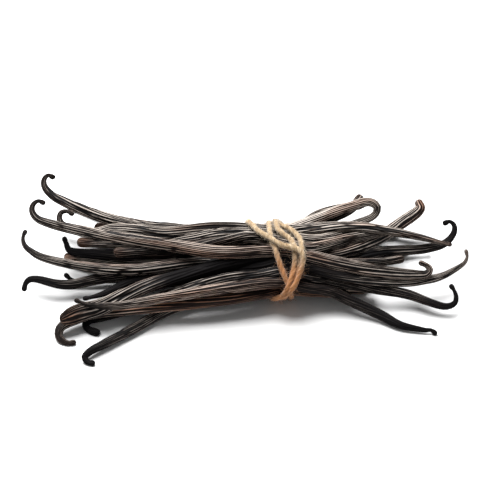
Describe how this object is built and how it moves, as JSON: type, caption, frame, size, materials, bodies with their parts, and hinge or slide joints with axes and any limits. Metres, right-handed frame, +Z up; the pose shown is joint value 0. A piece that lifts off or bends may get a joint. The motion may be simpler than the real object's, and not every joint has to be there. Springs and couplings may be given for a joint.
{
  "type": "bundle of vanilla pods",
  "caption": "Bundle of dark cured vanilla pods with curled, hooked ends, fanned out and tied near the middle with wraps of jute twine.",
  "frame": {"origin": "centre of the bundle's outline, on the table it lies on", "axes": "+X along the pods towards the end nearer the twine, +Z up, the fanned front at -Y"},
  "size_m": [0.2243, 0.1114, 0.0336],
  "materials": {
    "pod_skin": "dark brown to black, wrinkled lengthwise, slightly oily",
    "jute": "twisted, fuzzy, matt"
  },
  "bodies": {
    "root": {"pods": "pod_skin", "twine": "jute"}
  },
  "joints": []
}
